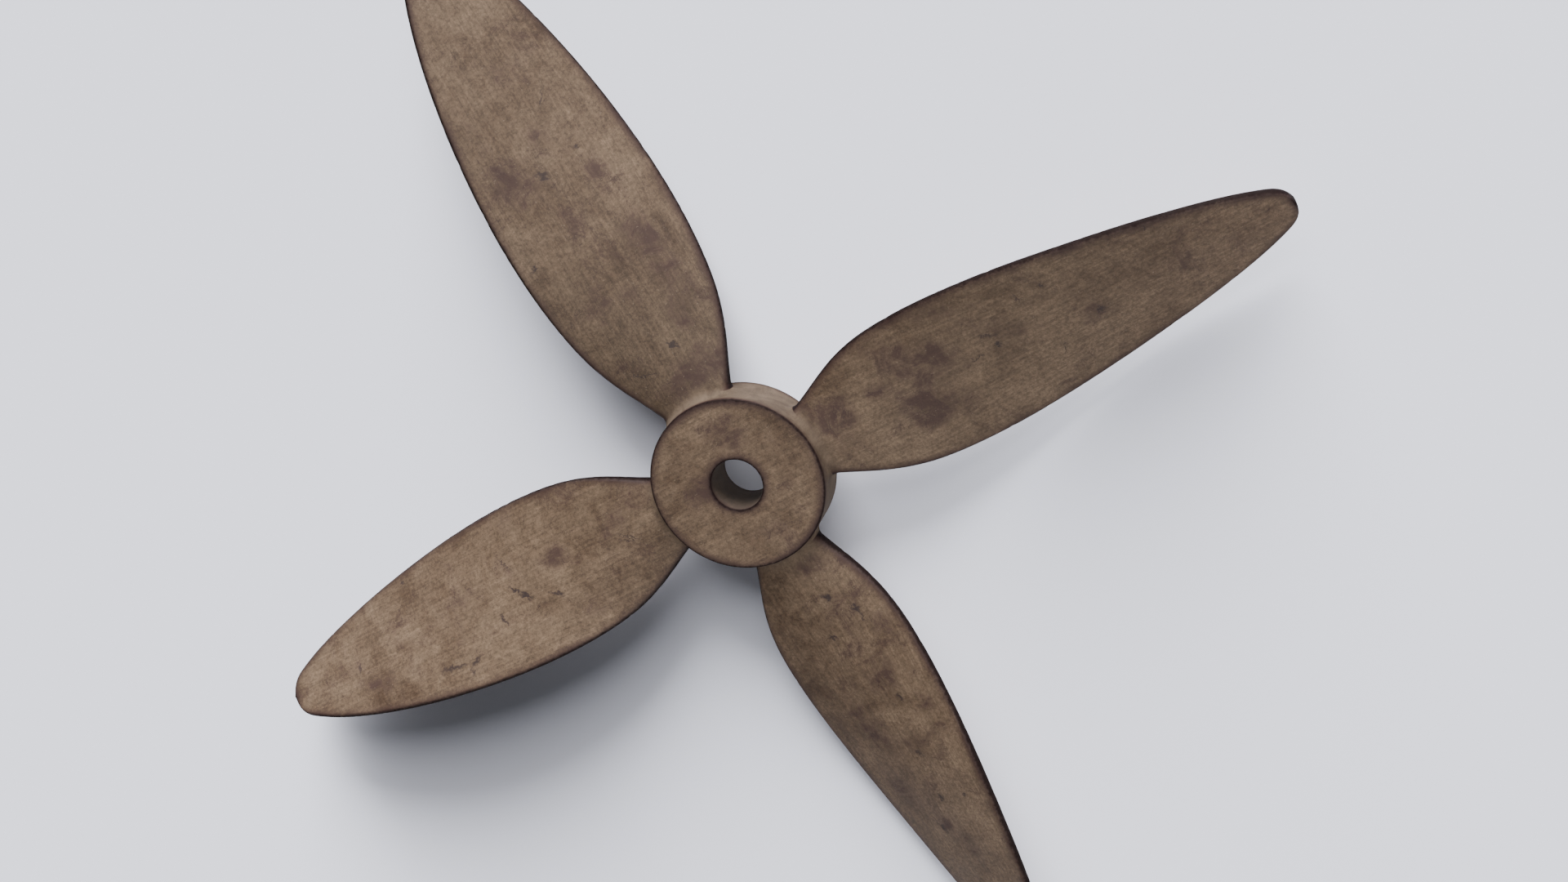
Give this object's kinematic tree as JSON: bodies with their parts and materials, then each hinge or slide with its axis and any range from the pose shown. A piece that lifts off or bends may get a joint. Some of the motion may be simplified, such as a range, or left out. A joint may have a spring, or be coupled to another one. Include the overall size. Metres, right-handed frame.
{
  "type": "wooden propeller",
  "caption": "Carved wooden propeller with broad twisted blades, a plain round hub and a through bore, glued up from crossing laminated boards.",
  "frame": {"origin": "on the shaft axis, in the hub's rear face", "axes": "+Z along the shaft axis towards the front face, +X along blade 1"},
  "size_m": [0.6098, 0.6098, 0.0406],
  "materials": {
    "blade_wood": "aged bare wood, rubbed smooth, mottled, with scorched dark edges and a satin surface",
    "hub_wood": "aged bare wood with fine diagonal grain, scorched rims and a satin surface"
  },
  "bodies": {
    "root": {"front_hub_facing": "hub_wood", "rear_hub_facing": "hub_wood", "core_plank_blades_1_and_3": "blade_wood", "core_plank_blades_2_and_4": "blade_wood", "blade_1_core_stub": "blade_wood", "blade_1_mitred_core": "blade_wood", "blade_1_leading_lamination": "blade_wood", "blade_1_front_lamination": "blade_wood", "blade_1_rear_lamination": "blade_wood", "blade_1_trailing_lamination": "blade_wood", "blade_2_core_stub": "blade_wood", "blade_2_mitred_core": "blade_wood", "blade_2_leading_lamination": "blade_wood", "blade_2_front_lamination": "blade_wood", "blade_2_rear_lamination": "blade_wood", "blade_2_trailing_lamination": "blade_wood", "blade_3_core_stub": "blade_wood", "blade_3_mitred_core": "blade_wood", "blade_3_leading_lamination": "blade_wood", "blade_3_front_lamination": "blade_wood", "blade_3_rear_lamination": "blade_wood", "blade_3_trailing_lamination": "blade_wood", "blade_4_core_stub": "blade_wood", "blade_4_mitred_core": "blade_wood", "blade_4_leading_lamination": "blade_wood", "blade_4_front_lamination": "blade_wood", "blade_4_rear_lamination": "blade_wood", "blade_4_trailing_lamination": "blade_wood"}
  },
  "joints": []
}
